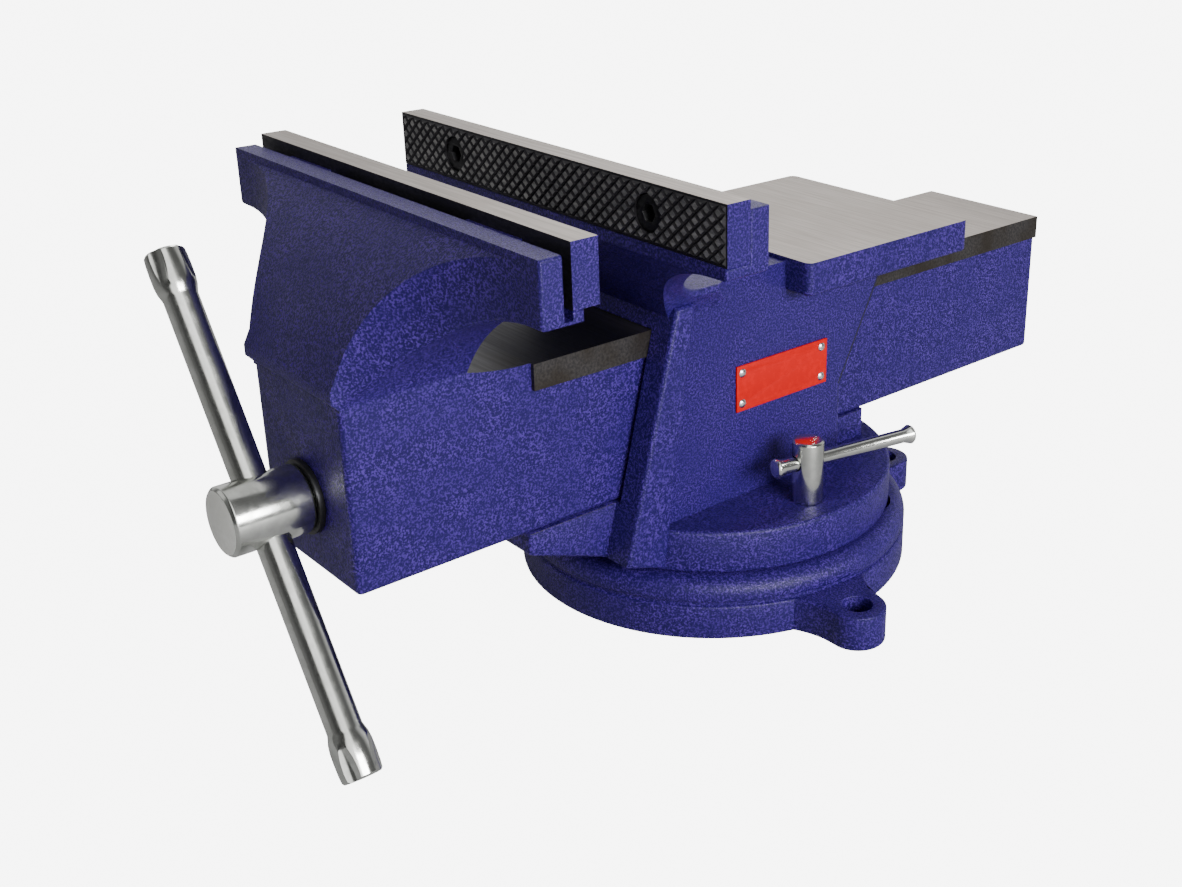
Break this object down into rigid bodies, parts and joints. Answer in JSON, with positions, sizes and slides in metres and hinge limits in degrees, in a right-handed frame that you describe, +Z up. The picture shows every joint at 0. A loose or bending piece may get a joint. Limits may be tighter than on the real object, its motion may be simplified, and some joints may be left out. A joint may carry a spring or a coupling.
{
  "type": "bench vise",
  "caption": "Swivel-base bench vise: wide moving jaw on a rectangular beam, knurled jaw plates, sliding screw handle, small anvil, and a round base with bench lugs.",
  "frame": {"origin": "on the swivel axis, at the underside of the base", "axes": "+X along the jaws towards the nameplate side, +Y along the screw from the handle to the rear, +Z up"},
  "size_m": [0.2202, 0.3976, 0.188],
  "materials": {
    "cast_paint": "violet-blue hammertone paint on cast iron",
    "plate_steel": "hardened steel, knurled, ground top",
    "zinc": "bright zinc plating",
    "dark_steel": "black oxide steel",
    "nut_iron": "bare cast iron, oiled",
    "red_plate": "red enamelled sheet",
    "rivet_metal": "bright aluminium"
  },
  "bodies": {
    "base": {"swivel_base": "cast_paint"},
    "body": {"fixed_body": "cast_paint", "fixed_jaw_plate": "plate_steel", "fixed_jaw_screws": "dark_steel", "spindle_nut": "nut_iron", "nut_bolts": "dark_steel", "nut_washers": "dark_steel", "clamp_nut_right": "nut_iron", "clamp_nut_left": "nut_iron", "nameplate": "red_plate", "nameplate_rivets": "rivet_metal"},
    "jaw": {"moving_jaw": "cast_paint", "moving_jaw_plate": "plate_steel", "moving_jaw_screws": "dark_steel"},
    "screw": {"spindle": "zinc", "thrust_washer": "dark_steel", "spindle_collar": "dark_steel", "collar_pin": "dark_steel"},
    "handle": {"handle_bar": "zinc"},
    "lock_right": {"lock_bolt_right": "zinc"},
    "lock_left": {"lock_bolt_left": "zinc"},
    "lock_bar_right": {"lock_bar_right": "zinc"},
    "lock_bar_left": {"lock_bar_left": "zinc"}
  },
  "joints": [
    {"name": "base_swivel", "type": "hinge", "parent": "base", "child": "body", "pos_m": [0, 0, 0.0253], "axis": [0, 0, 1], "continuous": true},
    {"name": "jaw_slide", "type": "slide", "parent": "body", "child": "jaw", "axis": [0, -1, 0], "range_m": [-0.0498, 0.15]},
    {"name": "screw_turn", "type": "hinge", "parent": "jaw", "child": "screw", "pos_m": [0, -0.188, 0.08375], "axis": [0, -1, 0], "continuous": true},
    {"name": "handle_slide", "type": "slide", "parent": "screw", "child": "handle", "axis": [-0.5707, 0, 0.8211], "range_m": [-0.066, 0.066]},
    {"name": "lock_turn_right", "type": "hinge", "parent": "body", "child": "lock_right", "pos_m": [0.061, -0.003, 0.0433], "axis": [0, 0, 1], "range_deg": [-110, 25]},
    {"name": "lock_turn_left", "type": "hinge", "parent": "body", "child": "lock_left", "pos_m": [-0.061, -0.003, 0.0433], "axis": [0, 0, 1], "range_deg": [-25, 110]},
    {"name": "lock_bar_slide_right", "type": "slide", "parent": "lock_right", "child": "lock_bar_right", "axis": [0.1908, 0.9816, 0], "range_m": [-0.003, 0.005]},
    {"name": "lock_bar_slide_left", "type": "slide", "parent": "lock_left", "child": "lock_bar_left", "axis": [-0.1908, 0.9816, 0], "range_m": [-0.003, 0.005]}
  ],
  "couplings": [
    {"joint": "screw_turn", "follows": "jaw_slide", "rad_per_m": 1256.6}
  ]
}
